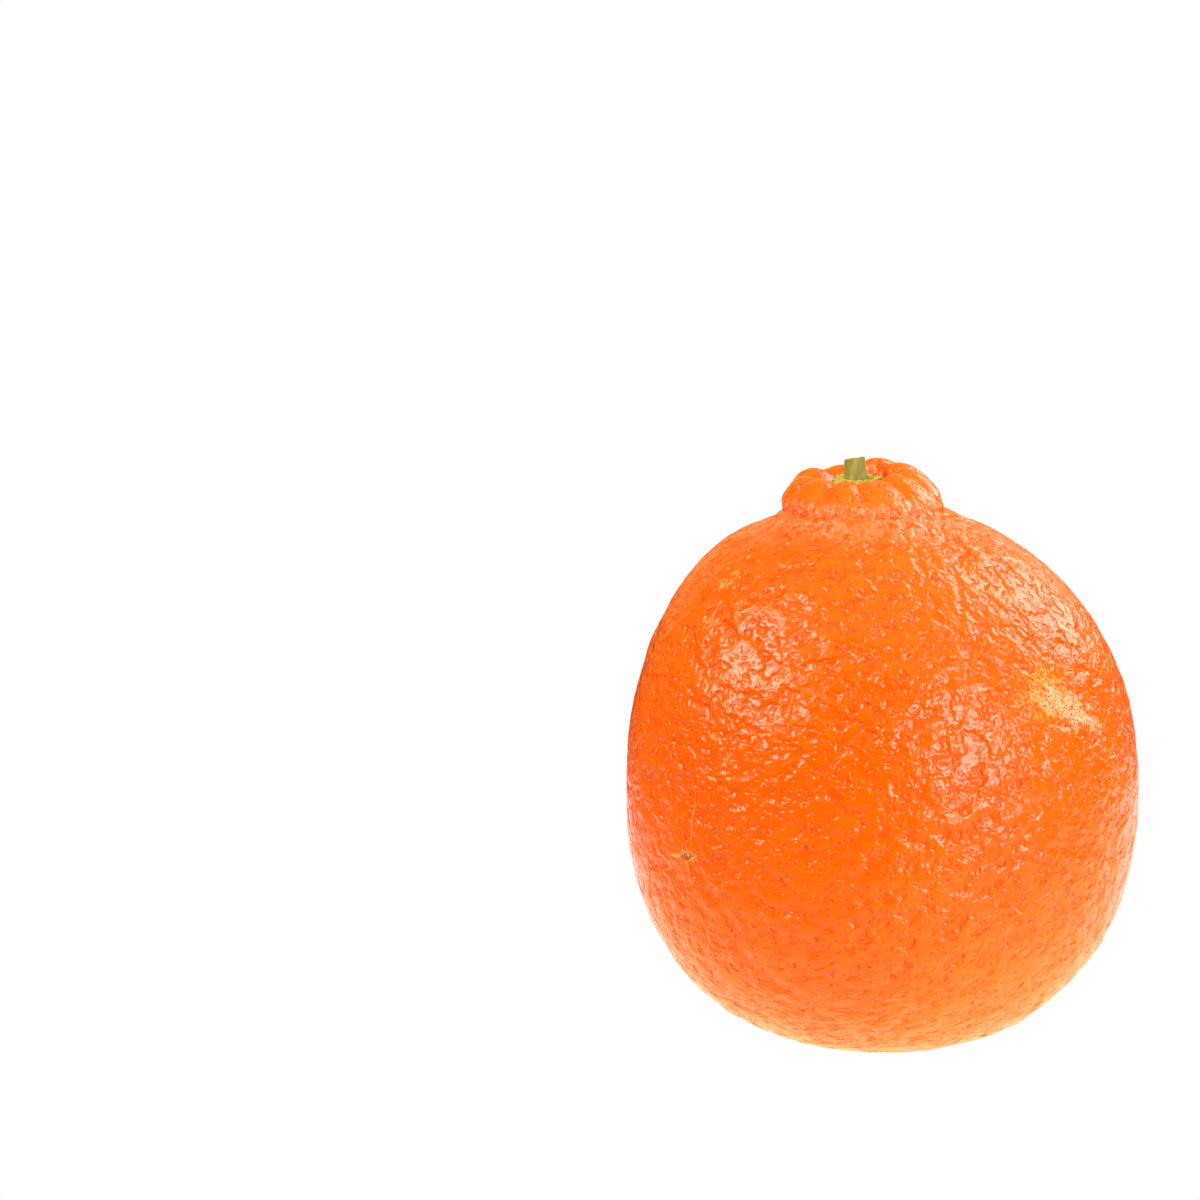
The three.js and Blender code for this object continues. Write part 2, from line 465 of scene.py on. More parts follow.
def mottle_tree() -> Tree:
    """Uneven tone: layered noise, spread round its middle by a contrast.

    Returns:
        A group that takes Place, Density (waves per metre) and Contrast, and gives Tone from 0 to 1.
    """
    inputs = {"Place": Kind.DIRECTION, "Density": Kind.NUMBER, "Contrast": Kind.NUMBER}
    bench, given = effect_tree("Mottle", inputs, "Tone")
    feeds = {"Vector": given["Place"], "Scale": given["Density"], "Detail": 3.0}
    raw = bench.node("ShaderNodeTexNoise", feeds).outputs[0]
    spread = bench.maths("MULTIPLY", bench.maths("SUBTRACT", raw, 0.5), given["Contrast"])
    return bench.give(bench.node("ShaderNodeClamp", {0: bench.maths("ADD", spread, 0.5)}).outputs[0])


def creases_tree() -> Tree:
    """Thin wavy furrows: they run where layered noise crosses its middle value.

    Returns:
        A group that takes Place, Density (waves per metre) and Width, and gives Furrow, 1 in mid-furrow.
    """
    inputs = {"Place": Kind.DIRECTION, "Density": Kind.NUMBER, "Width": Kind.NUMBER}
    bench, given = effect_tree("Creases", inputs, "Furrow")
    feeds = {"Vector": given["Place"], "Scale": given["Density"], "Detail": 2.0, "Distortion": 0.4}
    raw = bench.node("ShaderNodeTexNoise", feeds).outputs[0]
    away = bench.maths("ABSOLUTE", bench.maths("SUBTRACT", raw, 0.5))
    return bench.give(bench.step(away, 0.0, given["Width"], 1.0, 0.0))


def patch_tree() -> Tree:
    """A soft-edged oval on the skin, with its edge torn by noise.

    The place is measured from the oval's middle along two directions in shares of its half sizes. The patch
    is 1 inside that oval, and 0 outside and on the far side of the fruit.

    Returns:
        A group that takes Place, Middle, Across and Along (directions divided by the half sizes in metres),
        Grain (the tearing noise's waves per metre), Tear and Softness, and gives Patch.
    """
    inputs = dict.fromkeys(("Place", "Middle", "Across", "Along"), Kind.DIRECTION)
    inputs |= dict.fromkeys(("Grain", "Tear", "Softness"), Kind.NUMBER)
    bench, given = effect_tree("Patch", inputs, "Patch")
    away = bench.vector("SUBTRACT", given["Place"], given["Middle"])
    sides = [bench.vector("DOT_PRODUCT", away, given[side], output="Value") for side in ("Across", "Along")]
    distance = bench.maths("SQRT", bench.maths("ADD", *(bench.maths("MULTIPLY", s, s) for s in sides)))
    feeds = {"Vector": given["Place"], "Scale": given["Grain"], "Detail": 4.0}
    ragged = bench.maths("SUBTRACT", bench.node("ShaderNodeTexNoise", feeds).outputs[0], 0.5)
    torn = bench.maths("MULTIPLY_ADD", ragged, given["Tear"], distance)
    oval = bench.step(torn, bench.maths("SUBTRACT", 1.0, given["Softness"]), 1.0, 1.0, 0.0)
    near = bench.step(bench.vector("LENGTH", away, output="Value"), *PATCH_REACH, 1.0, 0.0)
    return bench.give(bench.maths("MULTIPLY", oval, near))


@dataclass
class Effects:
    """The shared effects, built once. Sizes are in mm."""

    pores: Tree = field(default_factory=pores_tree)
    mottle: Tree = field(default_factory=mottle_tree)
    creases: Tree = field(default_factory=creases_tree)
    patch: Tree = field(default_factory=patch_tree)

    def uneven(self, bench: Bench, place: Wire, size: float, contrast: float) -> Wire:
        """Uneven tone from 0 to 1, in patches about as wide as the size."""
        return bench.group(self.mottle, {"Place": place, "Density": per_metre(size), "Contrast": contrast})

    def furrowed(self, bench: Bench, place: Wire, size: float, width: float) -> Wire:
        """Wavy furrows about the size apart, 1 in mid-furrow. Their width is in the noise's own units."""
        return bench.group(self.creases, {"Place": place, "Density": per_metre(size), "Width": width})


@dataclass(frozen=True)
class Pits:
    """One size of pit: cell and depth in mm, radius and soft edge in cells, and the share of its tone, which
    is painted shade in the rind's pits and the own brown of the calyx's specks.
    """

    spacing: float
    radius: float
    edge: float
    depth: float
    tint: float

    def mask(self, bench: Bench, effects: Effects, place: Wire) -> Wire:
        """Where these pits are, 1 at their bottoms."""
        feeds = {"Place": place, "Density": per_metre(self.spacing), "Radius": self.radius, "Edge": self.edge}
        return bench.group(effects.pores, feeds)


def per_metre(size: float) -> float:
    """How many features of a size in mm fit in a metre."""
    return 1.0 / (size * MM)


def new_material(name: str) -> tuple[bpy.types.Material, Bench, Wire]:
    """Starts a material.

    Args:
        name: Its name.

    Returns:
        The material, a bench on its tree, and the place on the piece in metres.
    """
    material = bpy.data.materials.new(name)
    material.use_nodes = True
    bench = Bench(material.node_tree)
    return material, bench, bench.node("ShaderNodeTexCoord").outputs["Object"]


# The fruit


class MarkKind(Enum):
    """What a mark on the rind looks like."""

    NET = "net"
    CREAM = "cream"
    OLIVE = "olive"
    CORK = "cork"
    SCRATCH = "scratch"


@dataclass(frozen=True)
class Mark:
    """A scar or stain on the rind, by its place round the fruit, its height and its half sizes in mm."""

    kind: MarkKind
    angle: float
    height: float
    half_width: float
    half_height: float
    turn: float = 0.0
    grain: float = 1.1
    tear: float = 1.0
    softness: float = 0.5


MARKS = (
    Mark(MarkKind.NET, 43.6, 62.6, 6.6, 6.0, turn=-25, tear=2.0, softness=0.8),
    Mark(MarkKind.CREAM, 50.2, 59.8, 8.0, 3.0, turn=-24, grain=1.6, tear=2.6, softness=0.6),
    Mark(MarkKind.OLIVE, -52.6, 77.0, 2.1, 1.3, turn=35, grain=0.8, tear=3.0),
    Mark(MarkKind.OLIVE, -50.6, 78.6, 1.2, 0.7, turn=40, grain=0.6, tear=3.0),
    Mark(MarkKind.OLIVE, -49.6, 71.8, 1.6, 0.8, grain=0.6, tear=3.6),
    Mark(MarkKind.OLIVE, -40.4, 55.6, 2.2, 0.35, turn=-20, grain=0.5, tear=2.4, softness=0.6),
    Mark(MarkKind.OLIVE, -35.4, 52.6, 1.6, 0.45, turn=55, grain=0.5, tear=2.8, softness=0.6),
    Mark(MarkKind.SCRATCH, -48.2, 36.2, 3.8, 0.40, turn=6, grain=0.5, tear=1.2),
    Mark(MarkKind.SCRATCH, -45.8, 36.4, 2.4, 1.1, turn=8, grain=0.4, tear=2.4),
    Mark(MarkKind.CORK, -46.2, 36.3, 2.0, 0.8, turn=8, grain=0.30, tear=3.0),
    Mark(MarkKind.SCRATCH, -44.6, 36.2, 1.6, 0.16, turn=30, grain=0.5, tear=0.9),
    Mark(MarkKind.SCRATCH, -46.0, 34.6, 0.14, 1.5, turn=6, grain=0.5, tear=0.9),
    Mark(MarkKind.SCRATCH, -47.4, 37.0, 0.14, 1.4, turn=24, grain=0.5, tear=0.9),
    Mark(MarkKind.CORK, -57.3, 22.3, 1.0, 0.8, grain=0.6, tear=2.6, softness=0.8),
    Mark(MarkKind.SCRATCH, -44.4, 42.4, 0.12, 6.2, turn=-7, grain=0.7, tear=0.9, softness=0.6),
    Mark(MarkKind.SCRATCH, 32.1, 29.8, 1.6, 0.18, turn=-38, grain=0.5, tear=1.2, softness=0.6),
    Mark(MarkKind.SCRATCH, 4.0, 15.9, 2.6, 0.10, turn=12, grain=0.5, tear=1.0, softness=0.6),
    Mark(MarkKind.SCRATCH, 24.5, 15.4, 1.2, 0.10, turn=-20, grain=0.5, tear=1.0, softness=0.6),
)


@dataclass(frozen=True)
class PeelFinish:
    """The waxy rind: deep orange, glossy, with oil glands as small pits, fine creases and a few scars.

    Sizes and depths are in mm. A tint is the share of a tone that is laid over the ones before it. Drift and
    mottle are each a size and a contrast.
    """

    deep: Colour = (0.94, 0.097, 0.0004, 1.0)
    warm: Colour = (0.98, 0.132, 0.0008, 1.0)
    # Painted shade: the darker, redder tone laid into the glands, pits, dimples and deep places
    pit_shade: Colour = (0.92, 0.078, 0.0001, 1.0)
    # Painted shade: the darkest tone, laid into the cores of the small pits
    core_shade: Colour = (0.80, 0.050, 0.0002, 1.0)
    crest: Colour = (1.00, 0.200, 0.0030, 1.0)
    lobe: Colour = (0.96, 0.155, 0.0008, 1.0)
    # Painted sheen: the pale pinkish tone laid on the crumpled folds at the neck's foot
    fold_sheen: Colour = (0.96, 0.260, 0.1000, 1.0)
    drift: Pair = (24.0, 2.2)
    mottle: Pair = (2.2, 2.4)
    crest_tint: float = 0.26
    lobe_tint: float = 0.6
    # The cavity, gland, pit, core and hollow shares lay painted shade into the recesses; the fold share lays
    # a painted sheen
    cavity_shade_tint: float = 0.30
    hollow_shade_tint: float = 0.20
    fold_sheen_tint: float = 0.7
    marks: dict[MarkKind, Colour] = field(
        default_factory=lambda: {
            MarkKind.NET: colour("dc9c28"),
            MarkKind.CREAM: colour("c0b48c"),
            MarkKind.OLIVE: colour("c09a48"),
            MarkKind.CORK: colour("b05012"),
            MarkKind.SCRATCH: colour("f2a058"),
        }
    )
    net_shares: dict[MarkKind, float] = field(
        default_factory=lambda: {MarkKind.NET: 0.48, MarkKind.CREAM: 0.45, MarkKind.OLIVE: 0.48}
    )
    net_size: float = 0.42
    net_edge: float = 0.06
    glands: Pits = Pits(spacing=1.0, radius=0.42, edge=0.24, depth=0.10, tint=0.45)
    pits: Pits = Pits(spacing=2.3, radius=0.42, edge=0.34, depth=0.26, tint=0.25)
    cores: Pits = Pits(spacing=1.6, radius=0.27, edge=0.20, depth=0.09, tint=0.40)
    neck_gland_depth: float = 0.10
    # The cores are deeper low on the fruit, and carry more painted shade there
    low_core_depth: float = 0.12
    low_core_shade_tint: float = 0.35
    low_band: Pair = (20 * MM, 44 * MM)
    calming: float = 0.7
    squat: Triple = (0.82, 0.82, 1.0)
    swirl_size: float = 2.2
    warp: float = 2.0
    groove_size: float = 3.3
    groove_band: Pair = (0.37, 0.55)
    groove_depth: float = 0.30
    grain_size: float = 0.7
    grain_depth: float = 0.14
    flattened: Triple = (0.6, 0.6, 1.3)
    wrinkle_size: float = 2.0
    wrinkle_depth: float = 0.20
    fold_size: float = 1.2
    fold_band: Pair = (0.35, 0.65)
    fold_depth: float = 0.20
    # Depths of the relief over which the painted shade of the deep places comes in
    cavity_shade_band: Pair = (-0.40, -0.05)
    roughness: Pair = (0.12, 0.20)
    scar_roughness: float = 0.30

    def mark(
        self, bench: Bench, effects: Effects, place: Wire, tone: Wire, spots: dict[Mark, Spot]
    ) -> tuple[Wire, Wire]:
        """Lays the marks over the peel's tone.

        Args:
            bench: The material's bench.
            effects: The shared effects.
            place: The place on the fruit.
            tone: The tone so far.
            spots: Where each mark lies.

        Returns:
            The marked tone, and how scarred each place is.
        """
        scarred: Feed = 0.0
        net = bench.noise(place, self.net_size)
        for mark, (middle, across, along) in spots.items():
            feeds = {"Place": place, "Middle": middle, "Across": across, "Along": along}
            feeds |= {"Grain": per_metre(mark.grain), "Tear": mark.tear, "Softness": mark.softness}
            patch = bench.group(effects.patch, feeds)
            if mark.kind in self.net_shares:
                share = self.net_shares[mark.kind]
                threads = bench.step(net, share - self.net_edge, share + self.net_edge)
                patch = bench.maths("MULTIPLY", patch, threads)
            tone = bench.mix(patch, tone, self.marks[mark.kind])
            scarred = bench.maths("MAXIMUM", scarred, patch)
        return tone, scarred

    def make(self, effects: Effects, spots: dict[Mark, Spot]) -> bpy.types.Material:
        """Builds the material.

        Args:
            effects: The shared effects.
            spots: For each mark, its middle in metres and the two directions over the skin, each divided by
                the mark's half size along it.

        Returns:
            The peel's material.
        """
        material, bench, place = new_material("peel")
        flow = bench.attribute("flow", "Vector")
        calm = bench.attribute("calm")
        rugged = bench.maths("MULTIPLY_ADD", calm, -self.calming, 1.0)
        low = bench.step(bench.axis(place, "Z"), *self.low_band, 1.0, 0.0)

        # Places bent by a swirl, so that no pit is quite round
        squat = bench.stretch(flow, self.squat)
        feeds = {"Vector": flow, "Scale": per_metre(self.swirl_size), "Detail": 1.5}
        swirl = bench.node("ShaderNodeTexNoise", feeds).outputs["Color"]
        warped = bench.vector("MULTIPLY_ADD", swirl, (self.warp * MM,) * 3, squat)

        # Relief: masks, each with its height in mm
        glands = self.glands.mask(bench, effects, place)
        pits = bench.maths("MULTIPLY", self.pits.mask(bench, effects, warped), rugged)
        cores = bench.maths("MULTIPLY", self.cores.mask(bench, effects, warped), rugged)
        grooves = bench.step(bench.noise(squat, self.groove_size), *self.groove_band, 1.0, 0.0)
        grooves = bench.maths("MULTIPLY", grooves, rugged)
        grain = bench.maths("SUBTRACT", bench.noise(place, self.grain_size, detail=3.0), 0.5)
        waves = bench.noise(bench.stretch(flow, self.flattened), self.wrinkle_size)
        wrinkles = bench.maths("MULTIPLY", bench.maths("SUBTRACT", waves, 0.5), rugged)
        folds = bench.step(bench.noise(place, self.fold_size), *self.fold_band)
        folds = bench.maths("MULTIPLY", folds, bench.attribute("crumple"))
        layers = (
            (glands, bench.maths("MULTIPLY_ADD", calm, -self.neck_gland_depth, -self.glands.depth)),
            (pits, -self.pits.depth),
            (cores, bench.maths("MULTIPLY_ADD", low, -self.low_core_depth, -self.cores.depth)),
            (grooves, -self.groove_depth),
            (grain, self.grain_depth),
            (wrinkles, self.wrinkle_depth),
            (folds, self.fold_depth),
        )
        depth: Feed = 0.0
        for mask, height in layers:
            depth = bench.maths("MULTIPLY_ADD", mask, height, depth)

        # Tones: two oranges that drift, paler crests and lobes, painted shade in the pits and deep places,
        # and a painted sheen on the folds
        drift = effects.uneven(bench, place, *self.drift)
        fine = effects.uneven(bench, flow, *self.mottle)
        # Painted shade: the deeper a place lies in the relief, the more of the darker, redder tone it gets
        shaded_cavity = bench.step(depth, *self.cavity_shade_band, 1.0, 0.0)
        # Painted shade in the pit cores, stronger on the lower half of the fruit
        core_shade_tint = bench.maths("MULTIPLY_ADD", low, self.low_core_shade_tint, self.cores.tint)
        tints = (
            (drift, 1.0, self.warm),
            (fine, self.crest_tint, self.crest),
            (calm, self.lobe_tint, self.lobe),
            # Painted shade in the deep places, glands, pits, cores and dimples
            (shaded_cavity, self.cavity_shade_tint, self.pit_shade),
            (glands, self.glands.tint, self.pit_shade),
            (pits, self.pits.tint, self.pit_shade),
            (cores, core_shade_tint, self.core_shade),
            (bench.attribute("hollow"), self.hollow_shade_tint, self.pit_shade),
            # Painted sheen on the raised folds of the crumpled band
            (folds, self.fold_sheen_tint, self.fold_sheen),
        )
        tone: Feed = self.deep
        for mask, share, hue in tints:
            tone = bench.mix(bench.maths("MULTIPLY", mask, share), tone, hue)
        tone, scarred = self.mark(bench, effects, place, tone, spots)

        # The wax is duller over the scars
        smooth, dull = self.roughness
        rough = bench.maths("MULTIPLY_ADD", fine, dull - smooth, smooth)
        rough = bench.maths("MULTIPLY_ADD", scarred, self.scar_roughness, rough)
        feeds = {
            "IOR": 1.46,
            "Specular IOR Level": 0.5,
            "Subsurface Weight": 0.12,
            "Subsurface Radius": (1.0, 0.25, 0.08),
            "Subsurface Scale": 1.5 * MM,
        }
        bench.surface(tone, rough, depth, feeds)
        return material


class Channel(IntEnum):
    """The rind's separate noises, numbered well apart because a noise's layers take the next numbers."""

    PITS = 11
    SHALLOW = 41
    PEBBLE = 71
    BROAD = 91
    FOLDS = 111
    WAVER = 131
    BREAKS = 141


@dataclass(frozen=True)
class RindRelief:
    """The relief that the rind's mesh carries, in mm. A band is two heights on the outline."""

    standing_band: Pair = (0.2, 3.0)
    calm_band: Pair = (87.4, 89.4)
    crumple_start: Pair = (82.5, 85.5)
    crumple_end: Pair = (87.5, 90.0)
    pit_spacing: float = 3.1
    pit_radius: float = 1.25
    pit_depth: float = 0.26
    shallow_spacing: float = 2.2
    shallow_radius: float = 0.95
    shallow_depth: float = 0.16
    pebble_size: float = 3.2
    pebble_height: float = 0.22
    broad_size: float = 11.0
    broad_height: float = 0.18
    fold_size: float = 1.5
    fold_height: float = 0.20
    crease_width: float = 0.75
    crease_depth: float = 0.28
    crease_waver: float = 1.3


@dataclass
class Fruit:
    """Body, lobed neck and the stem's hollow, grown as one piece. All sizes are in mm.

    A start and an end are each two heights, between which a form rises to its full size or fades out.
    """

    body_radius: float = 41.0
    belly_depth: float = 41.3
    belly_fullness: float = 2.27
    shoulder_height: float = 46.8
    shoulder_fullness: float = 2.2
    foot_radius: float = 6.0
    scar_radius: float = 2.4
    scar_depth: float = 0.6
    neck_start: float = 19.0
    neck: tuple[Pair, ...] = (
        (14.7, 85.5),
        (12.9, 86.5),
        (12.7, 87.8),
        (12.2, 89.2),
        (11.1, 90.6),
        (9.8, 91.7),
        (8.4, 92.25),
        (7.0, 92.3),
        (5.9, 91.9),
        (5.3, 91.2),
        (4.9, 90.65),
        (4.2, 90.4),
    )
    hollow_floor: float = 90.4
    lean: tuple[float, float, float, float] = (35.0, 94.0, 5.1, 2.9)
    grooves: tuple[float, ...] = (4, 42, 74, 104, 131, 176, 222, 258, 294, 334)
    lobe_rise: tuple[float, ...] = (-0.5, -0.3, -0.2, 0.0, 0.35, -0.45, 0.1, -0.15, 0.0, -0.15)
    groove_depth: float = 1.1
    pillow_power: float = 2.4
    knob_radii: Pair = (4.6, 6.8)
    knob_start: Pair = (86.2, 90.8)
    rim_tilt: Pair = (0.75, 130.0)
    rib_height: float = 0.35
    rib_start: Pair = (72, 84)
    rib_end: Pair = (86, 89)
    bumps: tuple[tuple[float, ...], ...] = (
        (0, 1.5, 13.8, 86.4, 3.0),
        (90, -0.3, 18.5, 83.6, 3.4),
        (270, -1.0, 17.0, 84.4, 3.6),
    )
    swell: tuple[tuple[float, ...], ...] = ((2, 40, 0.3), (3, 115, 0.2), (5, 20, 0.12))
    swell_start: Pair = (1, 16)
    swell_end: Pair = (74, 90)
    columns: int = 384
    rows: int = 256
    crowding: float = 1.1
    crowd_band: Pair = (34, 24)
    softening_reach: int = 12
    rind: RindRelief = RindRelief()
    finish: PeelFinish = field(default_factory=PeelFinish)

    def half_ellipse(self, radius: Array | float, semi_height: float, fullness: float) -> Array | float:
        """Height of a half superellipse above or below the widest ring, at a radius.

        Args:
            radius: Distance from the axis.
            semi_height: Its height on the axis.
            fullness: 2 is an ellipse, and more is squarer.

        Returns:
            semi_height times the fullness-th root of 1 - (radius / body radius) ^ fullness.
        """
        return semi_height * (1.0 - (radius / self.body_radius) ** fullness) ** (1.0 / fullness)

    @property
    def widest_height(self) -> float:
        """Height of the widest ring above the flat foot."""
        return float(self.half_ellipse(self.foot_radius, self.belly_depth, self.belly_fullness))

    def arc(self, side: int, start: float, end: float, semi_height: float, fullness: float) -> Array:
        """Points of a half superellipse between two radii, evenly spaced by its angle.

        Args:
            side: -1 for the belly, +1 for the shoulder.
            start: First radius.
            end: Last radius.
            semi_height: Its height on the axis.
            fullness: Its squareness.

        Returns:
            Rows of radius and height.
        """
        limits = [math.acos((r / self.body_radius) ** (fullness / 2)) for r in (start, end)]
        angle = np.linspace(*limits, 400)
        radius = self.body_radius * np.cos(angle) ** (2 / fullness)
        rise = semi_height * np.sin(angle) ** (2 / fullness)
        return np.stack([radius, self.widest_height + side * rise], axis=-1)

    def neck_curve(self, start: Array) -> Array:
        """A uniform Catmull-Rom curve through the neck's points, from the shoulder to the hollow's middle.

        Args:
            start: The shoulder's last point.

        Returns:
            Rows of radius and height.
        """
        points = np.array([start, *self.neck, (0.0, self.hollow_floor)])
        padded = np.concatenate([points[:1], points, points[-1:]])
        before, first, second, after = padded[:-3], padded[1:-2], padded[2:-1], padded[3:]
        share = np.linspace(0.0, 1.0, 40, endpoint=False)[:, None, None]
        leave, arrive = (second - before) / 2, (after - first) / 2
        curve = (2 * first - 2 * second + leave + arrive) * share**3
        curve = curve + (-3 * first + 3 * second - 2 * leave - arrive) * share**2 + leave * share + first
        flat = curve.transpose(1, 0, 2).reshape(-1, 2)
        return np.concatenate([flat, points[-1:]])

    def profile(self) -> tuple[Array, Array]:
        """The outline from the foot's middle to the hollow's middle, resampled to the mesh's rows.

        The dense outline is softened by a short moving average, so that no kink is left where its parts
        meet, and rows lie closer together on the neck.

        Returns:
            Rows of radius and height without the ends on the axis, and each row's distance along the outline.
        """
        foot = np.array([(0.0, self.scar_depth), (self.scar_radius / 2, self.scar_depth * 0.75)])
        rim = np.array([(self.scar_radius, 0.0), (self.foot_radius - 0.01, 0.0)])
        belly = self.arc(-1, self.foot_radius, self.body_radius, self.belly_depth, self.belly_fullness)
        top = (self.shoulder_height, self.shoulder_fullness)
        shoulder = self.arc(1, self.body_radius, self.neck_start, *top)
        outline = np.concatenate([foot, rim, belly, shoulder[1:], self.neck_curve(shoulder[-1])[1:]])
        length = np.concatenate([[0], np.cumsum(np.linalg.norm(np.diff(outline, axis=0), axis=1))])
        even = np.linspace(0.0, length[-1], 4000)
        dense = np.stack([np.interp(even, length, outline[:, axis]) for axis in (0, 1)], axis=-1)
        reach = self.softening_reach
        kernel = np.hanning(2 * reach + 3)[1:-1]
        kernel /= kernel.sum()
        padded = np.pad(dense, ((reach, reach), (0, 0)), mode="edge")
        soft = np.stack([np.convolve(padded[:, axis], kernel, mode="valid") for axis in (0, 1)], axis=-1)
        crowd = 1.0 + self.crowding * smoothstep(even, *(even[-1] - away for away in self.crowd_band))
        count = np.concatenate([[0], np.cumsum(crowd[:-1])])
        rows = np.interp(np.linspace(0, count[-1], self.rows + 2)[1:-1], count, even)
        points = np.stack([np.interp(rows, even, soft[:, axis]) for axis in (0, 1)], axis=-1)
        return points, rows

    def lobes(self, angle: Array) -> tuple[Array, Array]:
        """How each angle lies among the neck's lobes.

        Args:
            angle: Degrees round the fruit.

        Returns:
            The pillow, 1 on a lobe's middle and 0 in a groove (1 - |share across| ^ pillow power), and the
            lobe's own rise times that pillow.
        """
        edges = np.array([*self.grooves, self.grooves[0] + 360], dtype=float)
        turned = (angle - edges[0]) % 360 + edges[0]
        lobe = np.clip(np.searchsorted(edges, turned, side="right") - 1, 0, len(self.grooves) - 1)
        across = 2 * (turned - edges[lobe]) / (edges[lobe + 1] - edges[lobe]) - 1
        pillow = 1 - np.abs(across) ** self.pillow_power
        return pillow, np.array(self.lobe_rise)[lobe] * pillow

    def relief(self, radius: Array, height: Array, angle: Array) -> Array:
        """How far the rind stands out from the plain turned outline: lobes, flutes, bumps and a slow swell.

        Args:
            radius: Distance from the axis.
            height: Height above the surface that it stands on.
            angle: Degrees round the fruit.

        Returns:
            Heights in mm along the outline's normals.
        """
        pillow, rise = self.lobes(angle)
        on_knob = smoothstep(radius, *self.knob_radii) * smoothstep(height, *self.knob_start)
        tilt = self.rim_tilt[0] * np.cos(np.radians(angle - self.rim_tilt[1]))
        ribbed = smoothstep(height, *self.rib_start) * (1 - smoothstep(height, *self.rib_end))
        total = on_knob * (self.groove_depth * (pillow - 0.75) + rise + tilt)
        total = total + ribbed * self.rib_height * (pillow - 0.6)
        for side, depth, at_radius, at_height, reach in self.bumps:
            facing = np.maximum(0, np.cos(np.radians(angle - side))) ** 1.5
            away = np.hypot(radius - at_radius, height - at_height)
            total = total + depth * facing * np.exp(-((away / reach) ** 2))
        on_body = smoothstep(height, *self.swell_start) * (1 - smoothstep(height, *self.swell_end))
        for waves, phase, depth in self.swell:
            total = total + on_body * depth * np.cos(np.radians(waves * angle + phase))
        return total

    def lean_at(self, height: Array | float) -> Array | float:
        """Sideways shift of the axis at a height: nothing low down, then a power curve towards -X."""
        low, high, shift, power = self.lean
        return -shift * (np.maximum(0.0, (np.asarray(height) - low) / (high - low)) ** power)

    def skin(
        self, points: Array, flow: Array, height: Array, crease: float
    ) -> tuple[Array, dict[str, Array]]:
        """The rind's fine relief: dimples, pebbling and, round the neck's foot, a crease in crumpled skin.

        Args:
            points: Places on the smooth rind.
            flow: Places in the rind's own coordinates, in which the pattern narrows towards the neck.
            height: Height of each place on the outline.
            crease: Distance along the outline of the crease at the neck's foot.

        Returns:
            The relief in mm, and for the finish how deep each place lies in a dimple, which the finish
            darkens as painted shade, how crumpled the skin is there, where the finish lays a painted sheen,
            and how calm it is,
            1 on the neck's smooth lobes.
        """
        rind = self.rind
        calm = smoothstep(height, *rind.calm_band)
        rugged = 1 - 0.8 * calm
        pits = dimples(flow, rind.pit_spacing, rind.pit_radius, Channel.PITS) * rugged
        shallow = dimples(points, rind.shallow_spacing, rind.shallow_radius, Channel.SHALLOW) * rugged
        pebble = layered_noise(flow, rind.pebble_size, Channel.PEBBLE, layers=2) * rugged
        broad = layered_noise(points, rind.broad_size, Channel.BROAD, layers=2)
        crumple = smoothstep(height, *rind.crumple_start) * (1 - smoothstep(height, *rind.crumple_end))
        folds = layered_noise(flow * np.array([0.6, 0.6, 1.4]), rind.fold_size, Channel.FOLDS, layers=2)
        relief = -rind.pit_depth * pits - rind.shallow_depth * shallow + rind.pebble_height * pebble
        relief = relief + rind.broad_height * broad + rind.fold_height * crumple * folds
        waver = rind.crease_waver * value_noise(points, 8.0, Channel.WAVER)
        furrow = np.exp(-(((flow[..., 2] - crease - waver) / rind.crease_width) ** 2))
        relief = relief - rind.crease_depth * furrow * (0.6 + 0.4 * value_noise(points, 7.0, Channel.BREAKS))
        masks = {"hollow": np.maximum(pits, 0.5 * shallow), "crumple": crumple, "calm": calm}
        return relief * smoothstep(height, *rind.standing_band), masks

    def build(self) -> tuple[bpy.types.Mesh, Array]:
        """Makes the rind's mesh: the outline turned round the axis, raised by its relief, leaned and pebbled.

        Returns:
            The mesh in its place, and the shift in mm that centred it in the frame's box.
        """
        outline, along = self.profile()
        angle = np.arange(self.columns) * 360.0 / self.columns
        slope = np.gradient(outline, along, axis=0)
        normal = np.stack([slope[:, 1], -slope[:, 0]], axis=-1)
        normal /= np.linalg.norm(normal, axis=-1, keepdims=True)
        radius, height = (outline[:, axis][:, None] for axis in (0, 1))
        raised = self.relief(radius, height, angle[None, :])
        out = radius + raised * normal[:, :1]
        turn = np.radians(angle)[None, :]
        leaning = out * np.sin(turn) + self.lean_at(height)
        form = np.stack([leaning, -out * np.cos(turn), height + raised * normal[:, 1:]], axis=-1)
        reach = np.sqrt(self.body_radius * radius)
        flow = np.stack(
            np.broadcast_arrays(reach * np.sin(turn), -reach * np.cos(turn), along[:, None]), axis=-1
        )
        foot_radius, foot_height = self.neck[1]
        crease = along[np.argmin(np.hypot(outline[:, 0] - foot_radius, outline[:, 1] - foot_height))]
        fine, masks = self.skin(form, flow, np.broadcast_to(height, raised.shape), crease)
        rings = form + fine[..., None] * grid_normals(form)
        shift = centring(rings, "fruit")
        shift[2] = -rings[..., 2].min()
        rings = rings + shift
        mesh = ring_mesh("rind", rings)
        ends = np.array([[0.0, 0.0, along[0]], [0.0, 0.0, along[-1]]])
        store(mesh, "flow", np.concatenate([flow.reshape(-1, 3), ends]) * MM)
        for name, values in masks.items():
            store(mesh, name, np.concatenate([values.ravel(), [0.0, 0.0]]))
        return mesh, shift

